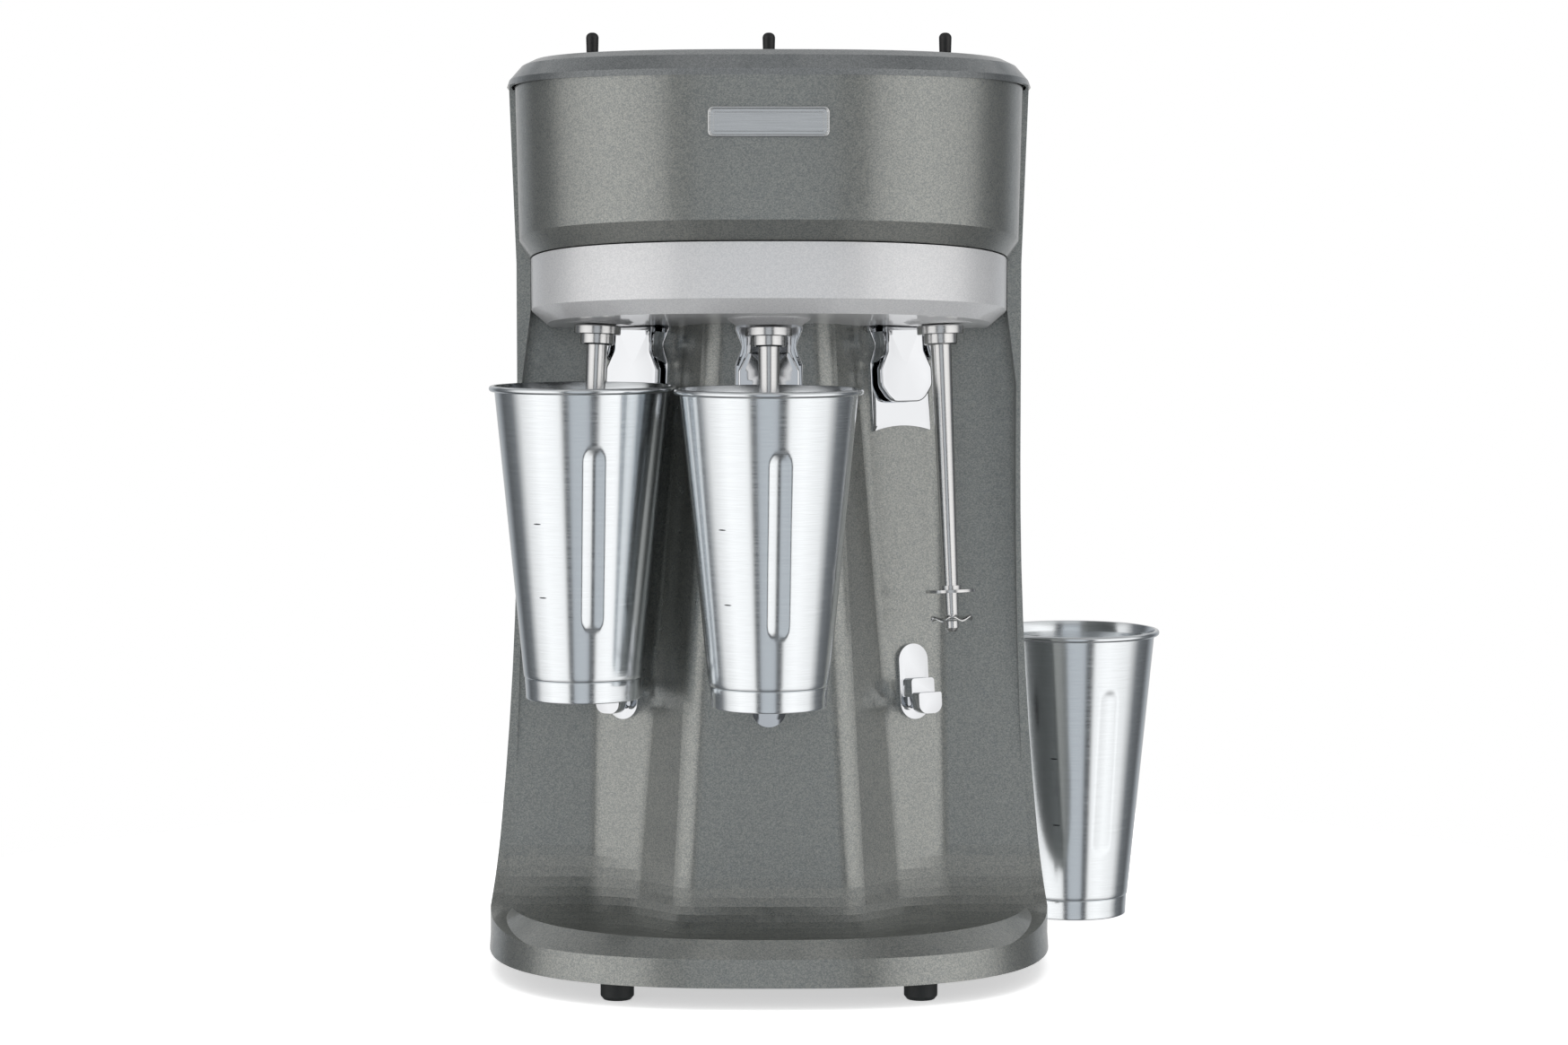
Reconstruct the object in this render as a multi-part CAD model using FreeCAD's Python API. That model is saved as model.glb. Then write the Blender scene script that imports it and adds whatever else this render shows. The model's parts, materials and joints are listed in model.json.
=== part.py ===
"""Three-spindle milkshake mixer with two hung cups and one standing cup. Millimetres, +Z up, -Y to the front.

The origin is on the surface that the feet stand on, midway between the side walls. Each spindle has its own station:
one is in the middle and two are turned outwards. A station is drawn in its own frame, whose Z axis is the axis of its
hung cup and whose +Y points at the column, and a loop turns it to the left, centre and right.
"""
import FreeCAD
import Part
import math
import os

V = FreeCAD.Vector
X_AXIS, Z_AXIS, START = V(1, 0, 0), V(0, 0, 1), V(0, 0, 0)
os.makedirs("parts", exist_ok=True)

# --- driving sizes ---------------------------------------------------------------------------------------------------
WALL = 2.5                      # cast and moulded walls
GAP = 0.3                       # clearance between pieces that don't touch
REAR_Y = 116.0                  # back of the machine

# base, side walls and column
FOOT_Z, CREASE_Z, CREST_Z, FLOOR_Z = 12.0, 27.0, 36.0, 28.0
BASE_HALF, BASE_FRONT, WIDEST_Y = 160.0, -105.5, 48.0
CREST_HALF, CREST_FRONT = 149.0, -92.0
WAIST_HALF, WALL_FOOT_HALF, FLARE_Z = 143.2, 161.2, 290.0
LEAN_Z = 400.0                  # above it the side walls lean outwards to the cap
WING_FACE, WING_FOOT_FACE = 2.6, 10.5   # width of a side wall's front edge at the waist and at the foot
SIDE_WALL = 8.0                 # thickness of the sides behind the column and beside the head
SHOULDER_Z = (329.0, 374.0)     # between these heights the sides thicken towards the head
WING_TOE_Y = -62.0              # where a side wall's edge has run out into the rim
WING_Y, WING_SWEEP = 36.0, 45.0  # a side wall's front edge, and the radius of its sweep into the base
COLUMN_TOP_Z = 378.0
CENTRE_COVE, SIDE_COVE = 32.0, 46.0     # radii of the column's sweep into the floor, in the middle and at the sides

# head
HEAD_FRONT, HEAD_WIDEST_Y = -92.0, 35.0
HEAD_LOW, HEAD_BEVEL, HEAD_HIGH = (134.8, 414.0), (140.6, 425.0), (142.6, 502.0)    # half width and height at the front
CAP_HALF = 147.0                # the side walls lean out to the cap's width
HEAD_LEAN, CAP_LEAN, SHROUD_LEAN = 6.3, 1.8, 4.9    # slopes of the housing's lower edge, the cap and the shroud, degrees
CAP_TOP, CROWN_INSET = 516.0, 14.5
SHROUD_HALF, SHROUD_FRONT = 134.0, -86.0
SHROUD_LOW, SHROUD_CHAMFER, SHROUD_TOP = 374.6, 383.0, 413.4
TOGGLE_X, TOGGLE_Y = 98.0, 0.0
TOGGLE_PIVOT_DROP = 7.0         # from the cap's top down to the lever's pivot

# stations
CENTRE_STATION = (0.0, -50.0, 0.0)              # x, y, turn in degrees
SIDE_X, SIDE_Y, SIDE_TURN = 104.0, -8.0, 29.0
FACE_Y, FACE_Z, FACE_LEAN = 61.8, 333.0, 5.26   # column face behind a cup: its y at that height, and its lean
SPINDLE_Y, SPINDLE_Z, SPINDLE_LEAN = 16.2, 359.0, 4.72
SHAFT_TOP_R, SHAFT_LOW_R, SHAFT_MOTOR_R = 5.85, 4.0, 4.0
TIP_H = -161.5                  # heights on the spindle are along its axis, from SPINDLE_Z
COLLAR_H, BOSS_H, MOTOR_H = 7.0, 7.6, 30.0
UPPER_DISC_H, LOWER_DISC_H = -142.0, -158.0
PADDLE_HINGE = (-5.2, 38.0)     # y and z in the frame of the column's face

# cups
CUP_HEIGHT, CUP_LOW_R, CUP_TOP_R, CUP_RIM_R, CUP_WALL = 175.0, 32.2, 49.2, 52.0, 0.9
CUP_Z = 158.0
SPARE_CUP = (187.0, 195.0)


# --- small tools -----------------------------------------------------------------------------------------------------
def write(name, shape):
    """One STEP file for one node."""
    shape.exportStep(f"parts/{name}.step")


def box(x0, x1, y0, y1, z0, z1):
    return Part.makeBox(x1 - x0, y1 - y0, z1 - z0, V(x0, y0, z0))


def cylinder(radius, low, high, x=0.0, y=0.0):
    return Part.makeCylinder(radius, high - low, V(x, y, low))


def ring(outer, inner, low, high, x=0.0, y=0.0):
    return cylinder(outer, low, high, x, y).cut(cylinder(inner, low - 1, high + 1, x, y))


def rod_x(radius, x0, x1, y, z):
    return Part.makeCylinder(radius, x1 - x0, V(x0, y, z), X_AXIS)


def rounded_edges(corners, closed=True):
    """Lines and tangent arcs along corners, each an (x, y, radius)."""
    count = len(corners)
    turns = []
    for i, (x, y, radius) in enumerate(corners):
        here = V(x, y, 0)
        if radius == 0 or (not closed and i in (0, count - 1)):
            turns.append((here, None, here))
            continue
        before = (V(*corners[i - 1][:2], 0) - here).normalize()
        after = (V(*corners[(i + 1) % count][:2], 0) - here).normalize()
        half = math.acos(max(-1.0, min(1.0, before.dot(after)))) / 2
        reach = radius / math.tan(half)
        bisector = (before + after).normalize()
        middle = here + bisector * (radius / math.sin(half) - radius)
        turns.append((here + before * reach, middle, here + after * reach))
    edges = []
    for i, (start, middle, end) in enumerate(turns):
        if middle is not None:
            edges.append(Part.Arc(start, middle, end).toShape())
        if closed or i < count - 1:
            edges.append(Part.LineSegment(end, turns[(i + 1) % count][0]).toShape())
    return edges


def flat_shape(corners):
    """A face in the XY plane with rounded corners."""
    return Part.Face(Part.Wire(rounded_edges(corners)))


def prism_y(corners, y0, y1):
    """A solid whose outline is given in (x, z, radius) and which runs from y0 to y1."""
    face = flat_shape(corners)
    face.rotate(START, X_AXIS, 90)
    face.translate(V(0, y0, 0))
    return face.extrude(V(0, y1 - y0, 0))


def prism_x(corners, x0, x1):
    """A solid whose outline is given in (y, z, radius) and which runs from x0 to x1."""
    face = flat_shape(corners)
    face.rotate(START, V(1, 1, 1), 120)
    face.translate(V(x0, 0, 0))
    return face.extrude(V(x1 - x0, 0, 0))


def prism_z(corners, z0, z1):
    face = flat_shape(corners)
    face.translate(V(0, 0, z0))
    return face.extrude(V(0, 0, z1 - z0))


def revolved(corners):
    """A solid of revolution about Z from an outline in (radius, z, corner radius)."""
    face = flat_shape(corners)
    face.rotate(START, X_AXIS, 90)
    return face.revolve(START, Z_AXIS, 360)


def d_outline(half, front, rear, z, lean=0.0, widest=WIDEST_Y, power=2.7, corner=5.0):
    """A D in plan: a superellipse in front, straight sides, rounded rear corners. It leans down towards the back."""
    steps = 20
    depth = widest - front
    points = []
    for i in range(steps + 1):
        angle = math.pi * i / steps
        across, along = math.cos(angle), math.sin(angle)
        x = -half * math.copysign(abs(across) ** (2 / power), across)
        points.append(V(x, widest - depth * abs(along) ** (2 / power), z))
    curve = Part.BSplineCurve()
    curve.interpolate(points, InitialTangent=V(0, -1, 0), FinalTangent=V(0, 1, 0), Scale=False)
    edges = [curve.toShape()]
    back = [(half, widest, 0), (half, rear, corner), (-half, rear, corner), (-half, widest, 0)]
    for edge in rounded_edges(back, closed=False):
        edge.translate(V(0, 0, z))
        edges.append(edge)
    wire = Part.Wire(edges)
    wire.rotate(V(0, front, z), X_AXIS, -lean)
    return wire


def loft(wires):
    return Part.makeLoft(wires, True, True)


# --- frames ----------------------------------------------------------------------------------------------------------
def placed(shape, lean, origin, turn=0.0, corner=START):
    """A copy that is leaned back about X, moved to origin, turned about Z and moved to corner."""
    shape = shape.copy()
    shape.rotate(START, X_AXIS, -lean)
    shape.translate(origin)
    shape.rotate(START, Z_AXIS, turn)
    shape.translate(corner)
    return shape


def on_spindle(shape):
    """From the spindle's frame, with its axis along Z, to the station's."""
    return placed(shape, SPINDLE_LEAN, V(0, SPINDLE_Y, SPINDLE_Z))


def on_face(shape):
    """From the frame of the column's face, with the face at y = 0, to the station's."""
    return placed(shape, FACE_LEAN, V(0, FACE_Y, FACE_Z))


def to_station(shape, station):
    x, y, turn = station
    return placed(shape, 0, START, turn, V(x, y, 0))


STATIONS = {
    "left": (-SIDE_X, SIDE_Y, -SIDE_TURN),
    "centre": CENTRE_STATION,
    "right": (SIDE_X, SIDE_Y, SIDE_TURN),
}


# --- column and base -------------------------------------------------------------------------------------------------
def cove_reach(radius, z):
    """How far a cove of that radius has come forward at a height."""
    drop = min(max(0.0, FLOOR_Z + radius - z), radius)
    return radius - math.sqrt(radius ** 2 - drop ** 2)


def column_section(z, inset=0.0):
    """The column's front in plan: a centre face, two turned faces that carry the side stations, and two side panels."""
    depth = FACE_Y + (z - FACE_Z) * math.tan(math.radians(FACE_LEAN)) + inset
    turn = math.radians(SIDE_TURN)
    share = (400 - z) / 380
    ridge_x, valley_x, outer_x = 30 + 20 * share - inset, 46.5 + 31 * share - inset, 94 + 5 * share

    def turned_face_y(x):
        return SIDE_Y + (depth + (x - SIDE_X) * math.sin(turn)) / math.cos(turn)

    centre, side = cove_reach(CENTRE_COVE, z), cove_reach(SIDE_COVE, z)
    half = [
        (ridge_x, CENTRE_STATION[1] + depth - centre, 18),
        (valley_x, turned_face_y(valley_x) - (centre + side) / 2, 15),
        (outer_x, turned_face_y(outer_x) - side, 20),
        (175, turned_face_y(outer_x) - side, 0),
    ]
    back = REAR_Y + 20
    corners = [(175, back, 0), (-175, back, 0)] + [(-x, y, r) for x, y, r in reversed(half)] + half
    edges = rounded_edges(corners)
    for edge in edges:
        edge.translate(V(0, 0, z))
    return Part.Wire(edges)


COVE_TOP_Z = FLOOR_Z + SIDE_COVE


def column_shaft(inset=0.0, top=COLUMN_TOP_Z):
    """The straight part of the column, above the cove."""
    return loft([column_section(COVE_TOP_Z, inset), column_section(top, inset)])


def column_cove():
    """The sweep of the column's foot into the floor."""
    steps = 12
    drops = [SIDE_COVE * math.sin(math.radians(90) * i / steps) for i in range(steps + 1)]
    return loft([column_section(COVE_TOP_Z - drop) for drop in drops])


def half_width(z, waist=WAIST_HALF, foot=BASE_HALF):
    """Half the machine's width at a height where its sides are straight or flare."""
    rise, spread = FLARE_Z - FOOT_Z, foot - waist
    radius = (rise ** 2 + spread ** 2) / (2 * spread)
    return waist + radius - math.sqrt(radius ** 2 - max(0.0, FLARE_Z - z) ** 2)


def silhouette(waist, foot):
    """The machine's outline from the front: leaning sides, straight below LEAN_Z, and flaring below FLARE_Z."""
    middle_z = (FLARE_Z + FOOT_Z) / 2
    top, low, reach = 540.0, FOOT_Z - 8, 200.0
    top_half = waist + (CAP_HALF - WAIST_HALF) * (top - LEAN_Z) / (HEAD_HIGH[1] - LEAN_Z)
    edges = []
    for side in (1, -1):
        points = [V(side * x, -reach, z) for x, z in ((foot, low), (foot, FOOT_Z), (waist, FLARE_Z), (waist, LEAN_Z),
                                                      (top_half, top))]
        middle = V(side * half_width(middle_z, waist, foot), -reach, middle_z)
        edges.append(Part.LineSegment(points[0], points[1]).toShape())
        edges.append(Part.Arc(points[1], middle, points[2]).toShape())
        edges.append(Part.LineSegment(points[2], points[3]).toShape())
        edges.append(Part.LineSegment(points[3], points[4]).toShape())
    for z, half in ((low, foot), (top, top_half)):
        edges.append(Part.LineSegment(V(-half, -reach, z), V(half, -reach, z)).toShape())
    return Part.Face(Part.Wire(Part.__sortEdges__(edges))).extrude(V(0, 2 * reach, 0))


def under_plane(z, lean):
    """Everything under a plane that has that height at the head's front and leans down towards the back."""
    return placed(box(-200, 200, -300, 300, -500, 0), lean, V(0, HEAD_FRONT, z))


def body_casting():
    """Base, side walls and column in one casting, open underneath and at the back. The side walls reach the cap."""
    foot = d_outline(BASE_HALF, BASE_FRONT, REAR_Y, FOOT_Z)
    crease = d_outline(BASE_HALF - 1, BASE_FRONT + 4, REAR_Y, CREASE_Z)
    crest = d_outline(CREST_HALF, CREST_FRONT, REAR_Y, CREST_Z, power=2.35)
    tray = loft([foot, crease]).fuse(loft([crease, crest]))

    side = [(REAR_Y, FOOT_Z, 0), (REAR_Y, 540, 0), (WING_Y, 540, 0), (WING_Y, CREST_Z, WING_SWEEP),
            (WING_TOE_Y, CREASE_Z - 0.5, 0), (WING_TOE_Y, FOOT_Z, 0)]
    plan = Part.Face(d_outline(BASE_HALF - 0.5, BASE_FRONT + 4.5, REAR_Y, FOOT_Z, corner=6.5)).extrude(V(0, 0, 550))
    walls = prism_x(side, -200, 200).common(plan).common(silhouette(WAIST_HALF, WALL_FOOT_HALF))
    walls = walls.common(under_plane(HEAD_HIGH[1], CAP_LEAN))
    outer = walls.fuse(tray)

    bay = Part.Face(d_outline(CREST_HALF, CREST_FRONT, REAR_Y + 9, FLOOR_Z, power=2.35)).extrude(V(0, 0, 540))
    bay = bay.common(silhouette(WAIST_HALF - WING_FACE, WALL_FOOT_HALF - WING_FOOT_FACE))
    low, high = SHOULDER_Z
    below = [(BASE_HALF, 0, 0), (BASE_HALF, low - 1, 0), (WAIST_HALF - WING_FACE + 0.4, low, 0),
             (WAIST_HALF - SIDE_WALL, high, 0)]
    below = prism_y(below + [(-x, z, r) for x, z, r in reversed(below)], -200, 200)
    bay = bay.common(silhouette(WAIST_HALF - SIDE_WALL, CREST_HALF).fuse(below))
    body = outer.cut(bay)
    between = silhouette(WAIST_HALF - 2, CREST_HALF + 4).common(plan)
    for piece in (column_shaft(), column_cove()):
        body = body.fuse(piece.common(between))

    hollow = column_shaft(WALL, COLUMN_TOP_Z + 9).common(silhouette(WAIST_HALF - SIDE_WALL, CREST_HALF))
    body = body.cut(hollow.common(box(-200, 200, -60, REAR_Y + 9, COVE_TOP_Z, 430)))
    for half, front in ((42, -5), (96, 38)):
        body = body.cut(box(-half, half, front, REAR_Y + 9, FLOOR_Z + 4, COVE_TOP_Z + 1))
    under = Part.Face(d_outline(BASE_HALF - 4, BASE_FRONT + 5.5, REAR_Y - 3, FOOT_Z - 1)).extrude(V(0, 0, 13.5))
    body = body.cut(under)
    for x, y in FOOT_PLACES:
        body = body.fuse(cylinder(6, FOOT_Z + 2.5, FOOT_Z + 13.5, x, y)).cut(cylinder(1.75, FOOT_Z, FOOT_Z + 10, x, y))
    for x, z in REAR_SCREWS:
        body = body.cut(Part.makeCylinder(1.75, 8, V(x, REAR_Y - 8, z), V(0, 1, 0)))
    return body


FOOT_PLACES = [(-83.0, -72.0), (83.0, -72.0), (-118.0, 92.0), (118.0, 92.0)]


def base_parts():
    write("body_casting", body_casting())

    cover = Part.Face(d_outline(BASE_HALF - 4.5, BASE_FRONT + 6, REAR_Y - 3.5, FOOT_Z)).extrude(V(0, 0, 2.4))
    for x, y in FOOT_PLACES:
        cover = cover.cut(cylinder(2.2, FOOT_Z - 1, FOOT_Z + 4, x, y))
    vents = [box(x - 2, x + 2, -10, 40, FOOT_Z - 1, FOOT_Z + 4) for x in range(-48, 49, 12)]
    write("bottom_cover", cover.cut(vents))

    foot = revolved([(2.2, 0.0, 0), (7.6, 0.0, 0), (9.2, 2.0, 1), (9.2, FOOT_Z, 0), (2.2, FOOT_Z, 0)])
    foot = foot.cut(cylinder(4.4, -1, 4.6))
    screw = revolved([(0, 1.8, 0), (3.9, 1.8, 0), (3.9, 4.6, 0.8), (1.75, 4.6, 0), (1.75, FOOT_Z + 10, 0),
                      (0, FOOT_Z + 10, 0)])
    screw = screw.cut(box(-3.4, 3.4, -0.5, 0.5, 0, 3))
    feet = [placed(foot, 0, V(x, y, 0)) for x, y in FOOT_PLACES]
    screws = [placed(screw, 0, V(x, y, 0)) for x, y in FOOT_PLACES]
    write("rubber_feet", Part.makeCompound(feet))
    write("foot_screws", Part.makeCompound(screws))


COVER_HALVES = (WAIST_HALF - 1.5, WALL_FOOT_HALF - 4.5)     # half widths of the back panel at its waist and foot
REAR_SCREWS = [(side * (half_width(z, *COVER_HALVES) - 3.6), z) for side in (-1, 1) for z in (64.0, 170.0, 280.0, 390.0)]


def rear_parts():
    """Back panel with cooling slots, its screws, and the mains inlet's gland."""
    outline = [(-200, 26, 0), (200, 26, 0), (200, 494, 0), (-200, 494, 0)]
    plate = prism_y(outline, REAR_Y, REAR_Y + 1.6).common(silhouette(*COVER_HALVES))
    slots = []
    for column in range(-5, 6):
        for z in (330.0, 260.0):
            x = column * 17.0
            slots.append(prism_y([(x - 2, z, 1.9), (x + 2, z, 1.9), (x + 2, z + 46, 1.9), (x - 2, z + 46, 1.9)],
                                 REAR_Y - 1, REAR_Y + 3))
    gland_hole = Part.makeCylinder(7.8, 12, V(70, REAR_Y - 6, 100), V(0, 1, 0))
    holes = [Part.makeCylinder(1.75, 12, V(x, REAR_Y - 6, z), V(0, 1, 0)) for x, z in REAR_SCREWS]
    write("rear_cover", plate.cut(slots).cut(gland_hole).cut(holes))

    flange = revolved([(0, 1.6, 0), (12, 1.6, 0), (12, 5, 1.4), (8, 8.5, 1), (5, 8.5, 0), (0, 8.5, 0)])
    gland = flange.fuse(cylinder(7.8, -9, 1.7)).cut(cylinder(3.6, -10, 10))
    gland.rotate(START, X_AXIS, -90)
    gland.translate(V(70, REAR_Y, 100))
    write("cord_gland", gland)

    screw = revolved([(0, -8, 0), (1.75, -8, 0), (1.75, 1.6, 0), (3.4, 1.6, 0), (3.4, 2.8, 0.6), (1.6, 3.6, 0.4),
                      (0, 3.6, 0)])
    screw = screw.cut(box(-2.6, 2.6, -0.4, 0.4, 2.6, 5)).cut(box(-0.4, 0.4, -2.6, 2.6, 2.6, 5))
    screw.rotate(START, X_AXIS, -90)
    write("rear_cover_screws", Part.makeCompound([placed(screw, 0, V(x, REAR_Y, z)) for x, z in REAR_SCREWS]))


# --- head ------------------------------------------------------------------------------------------------------------
def head_outline(half, z, lean, inset=0.0, front_inset=0.0):
    return d_outline(half - inset, HEAD_FRONT + inset + front_inset, REAR_Y - inset, z, lean, HEAD_WIDEST_Y, 2.6)


def head_solid(inset=0.0):
    """The housing's volume: a bevel at the bottom and slightly leaning walls above it."""
    (low_half, low_z), (bevel_half, bevel_z), (high_half, high_z) = HEAD_LOW, HEAD_BEVEL, HEAD_HIGH
    low = head_outline(low_half, low_z, HEAD_LEAN, inset, 7.0)
    bevel = head_outline(bevel_half, bevel_z, HEAD_LEAN, inset)
    high = head_outline(high_half, high_z, CAP_LEAN, inset)
    solid = loft([low, bevel]).fuse(loft([bevel, high]))
    return solid.cut(box(-200, 200, WING_Y - GAP, 300, 300, 600))


def shroud_outline(z, inset=0.0):
    return d_outline(SHROUD_HALF - inset, SHROUD_FRONT + inset, REAR_Y, z, SHROUD_LEAN, HEAD_WIDEST_Y, 2.6)


def bracket_notch():
    """Room around a switch paddle and its bracket, in the frame of the column's face."""
    return box(-20.5, 20.5, -14, 1, 12, 90)


def head_parts():
    solid = head_solid()
    hollow = loft([head_outline(HEAD_LOW[0], HEAD_LOW[1] - 1, HEAD_LEAN, WALL, 7.0),
                   head_outline(HEAD_BEVEL[0], HEAD_BEVEL[1], HEAD_LEAN, WALL)])
    hollow = hollow.fuse(loft([head_outline(HEAD_BEVEL[0], HEAD_BEVEL[1], HEAD_LEAN, WALL),
                               head_outline(HEAD_HIGH[0], HEAD_HIGH[1] + 1, CAP_LEAN, WALL)]))
    housing = solid.cut(hollow)
    write("head_housing", housing)

    plate = prism_y([(-32.6, 468.7, 3.2), (32.6, 468.7, 3.2), (32.6, 485.3, 3.2), (-32.6, 485.3, 3.2)],
                    HEAD_FRONT - 1.9, HEAD_FRONT + 4)
    write("nameplate", plate.cut(solid))

    half, z = CAP_HALF, HEAD_HIGH[1]
    rim = head_outline(half, z, CAP_LEAN)
    belt = head_outline(half, z + 3.4, CAP_LEAN, 1.2)
    shoulder = head_outline(half, z + 11, CAP_LEAN, 8)
    crown = head_outline(half, CAP_TOP, CAP_LEAN, CROWN_INSET)
    cap = loft([rim, belt]).fuse(loft([belt, shoulder])).fuse(loft([shoulder, crown]))
    inner = loft([head_outline(half, z - 1, CAP_LEAN, WALL), head_outline(half, z + 3, CAP_LEAN, WALL)])
    inner = inner.fuse(loft([head_outline(half, z + 3, CAP_LEAN, WALL),
                             head_outline(half, CAP_TOP - WALL, CAP_LEAN, CROWN_INSET + 1)]))
    holes = [cylinder(6.2, 490, 530, x, TOGGLE_Y) for x in (-TOGGLE_X, 0, TOGGLE_X)]
    write("head_cap", cap.cut(inner).cut(holes))

    shroud = loft([shroud_outline(SHROUD_LOW, 9), shroud_outline(SHROUD_CHAMFER)])
    shroud = shroud.fuse(loft([shroud_outline(SHROUD_CHAMFER), shroud_outline(SHROUD_TOP, -0.2)]))
    inner = loft([shroud_outline(SHROUD_LOW + WALL, 9 + WALL), shroud_outline(SHROUD_CHAMFER, WALL)])
    inner = inner.fuse(loft([shroud_outline(SHROUD_CHAMFER, WALL), shroud_outline(SHROUD_TOP + 1, WALL)]))
    shroud = shroud.cut(inner)
    for station in STATIONS.values():
        boss = revolved([(0, BOSS_H, 0), (18, BOSS_H, 0), (23.5, BOSS_H + 4, 3), (23.5, BOSS_H + 8, 0),
                         (0, BOSS_H + 8, 0)])
        shroud = shroud.fuse(to_station(on_spindle(boss), station))
    for station in STATIONS.values():
        shroud = shroud.cut(to_station(on_spindle(cylinder(7.5, 0, 60)), station))
        shroud = shroud.cut(to_station(on_face(bracket_notch()), station))
    shroud = shroud.cut(column_shaft(-GAP, COLUMN_TOP_Z + 60)).cut(box(-300, 300, 70, 300, 300, 500))
    shroud = shroud.common(under_plane(HEAD_LOW[1], HEAD_LEAN))
    write("motor_shroud", shroud)

    deck = Part.Face(d_outline(121, -71, 98, COLUMN_TOP_Z, 0, HEAD_WIDEST_Y, 2.6)).extrude(V(0, 0, 3))
    for station in STATIONS.values():
        post = cylinder(21, -10, MOTOR_H).cut(box(-90, 90, -90, 90, -90, 12))
        post = to_station(on_spindle(post), station).common(box(-300, 300, -300, 300, COLUMN_TOP_Z + 1, 500))
        deck = deck.fuse(post)
    for station in STATIONS.values():
        deck = deck.cut(to_station(on_spindle(cylinder(12.5, 0, 60)), station))
    write("motor_deck", deck)


# --- stations --------------------------------------------------------------------------------------------------------
def agitator_lower():
    """A wavy blade: a disc with six scallops and a raised hub."""
    disc = revolved([(2.4, -0.9, 0), (12.9, -0.9, 0.4), (12.9, 0.9, 0.4), (2.4, 0.9, 0)])
    dome = revolved([(2.4, 0.8, 0), (6.4, 0.8, 0), (5.2, 2.6, 0.8), (2.4, 2.6, 0)])
    blade = disc.fuse(dome)
    for i in range(6):
        angle = math.radians(60 * i)
        blade = blade.cut(cylinder(3.2, -3, 0.9, 12.6 * math.cos(angle), 12.6 * math.sin(angle)))
    return blade


def spindle_pieces():
    """The turning pieces of one station, in the spindle's frame."""
    shaft = revolved([(0, TIP_H + 5.4, 0), (2.3, TIP_H + 5.4, 0), (2.3, LOWER_DISC_H + 2.6, 0),
                      (SHAFT_LOW_R, LOWER_DISC_H + 2.6, 0), (SHAFT_LOW_R + 0.2, UPPER_DISC_H - 0.9, 0),
                      (SHAFT_TOP_R, -4, 0), (SHAFT_TOP_R, COLLAR_H, 0), (SHAFT_MOTOR_R, COLLAR_H + 1, 0),
                      (SHAFT_MOTOR_R, 104, 0), (0, 104, 0)])
    bore = cylinder(SHAFT_TOP_R, -200, 60)
    collar = revolved([(3, -4, 0), (8.6, -4, 0), (9.35, -3.2, 0.3), (9.35, 1.8, 0), (13, 1.8, 0.6),
                       (13, COLLAR_H, 0.8), (3, COLLAR_H, 0)])
    upper = ring(14, 3, UPPER_DISC_H - 0.8, UPPER_DISC_H + 0.8)
    upper = upper.fuse(ring(6.2, 3, UPPER_DISC_H - 0.8, UPPER_DISC_H + 3))
    lower = agitator_lower()
    lower.translate(V(0, 0, LOWER_DISC_H))
    screw = revolved([(0, TIP_H - 3.4, 0), (2.4, TIP_H - 3.4, 1), (3.8, TIP_H - 1.2, 0.6), (3.8, LOWER_DISC_H - 0.9, 0),
                      (0, LOWER_DISC_H - 0.9, 0)])
    screw = screw.cut(box(-0.5, 0.5, -3, 3, TIP_H - 4, TIP_H - 2.2))
    core = ring(17.6, SHAFT_MOTOR_R, 46, 78)
    commutator = ring(11, SHAFT_MOTOR_R, 82, 92)
    windings = ring(14, SHAFT_MOTOR_R, 41, 82.2)
    rotor = core.fuse(windings).fuse(commutator)
    fan = ring(8, SHAFT_MOTOR_R, 94, 99)
    for i in range(8):
        blade = box(7, 25, -0.6, 0.6, 94, 99)
        blade.rotate(START, Z_AXIS, 45 * i)
        fan = fan.fuse(blade)
    return {
        "spindle": shaft,
        "spindle_collar": collar.cut(bore),
        "upper_agitator": upper.cut(shaft),
        "lower_agitator": lower,
        "agitator_screw": screw.cut(shaft),
        "motor_rotor": rotor,
        "motor_fan": fan,
    }


def motor_pieces():
    """The still pieces of a motor, in the spindle's frame: the stator between two end brackets with bearings."""
    side = 29.0
    square = [(-side, -side, 14), (side, -side, 14), (side, side, 14), (-side, side, 14)]
    stack = prism_z(square, 46, 78).fuse(ring(27, 19.5, 40, 84)).cut(cylinder(18.2, 39, 90))
    low = prism_z(square, MOTOR_H, MOTOR_H + 4).fuse(ring(14, 5, MOTOR_H, MOTOR_H + 9))
    low = low.cut(cylinder(8, MOTOR_H + 2, MOTOR_H + 10)).cut(cylinder(5, MOTOR_H - 1, MOTOR_H + 3))
    high = prism_z(square, 100.5, 104).fuse(cylinder(14, 100.5, 108))
    high = high.cut(cylinder(8, 100, 106)).cut(cylinder(5, 100, 109))
    rods = [cylinder(2, MOTOR_H + 3, 101, x, y) for x in (-20.5, 20.5) for y in (-20.5, 20.5)]
    frame = low.fuse(rods).fuse(high)
    stack = stack.cut(rods)
    bearings = [ring(8, SHAFT_MOTOR_R + 0.03, MOTOR_H + 2, MOTOR_H + 8), ring(8, SHAFT_MOTOR_R + 0.03, 100.8, 104)]
    return stack, frame, bearings


def paddle():
    """A switch paddle in the frame of the column's face: a rounded plate with turned-back sides, a neck and a curl."""
    front, back = -9.4, -7.6
    outline = [(-17.2, -3, 7), (-10.5, -12.2, 9), (10.5, -12.2, 9), (17.2, -3, 7), (17.2, 7, 5), (12.4, 17, 5),
               (12.4, 32, 1), (-12.4, 32, 1), (-12.4, 17, 5), (-17.2, 7, 5)]
    plate = prism_y(outline, front, back)
    for side in (1, -1):
        plate = plate.fuse(box(side * 16.2 - 0.9, side * 16.2 + 0.9, front + 1, -5.3, -1.5, 6))
    y, z = PADDLE_HINGE
    neck = prism_x([(front, 30, 0), (back, 30, 0), (y + 1, z - 2, 0), (y - 1, z + 2, 0)], -11, 11)
    curl = rod_x(3.2, -11, 11, y, z)
    return plate.fuse(neck).fuse(curl).cut(rod_x(1.6, -12, 12, y, z))


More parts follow.
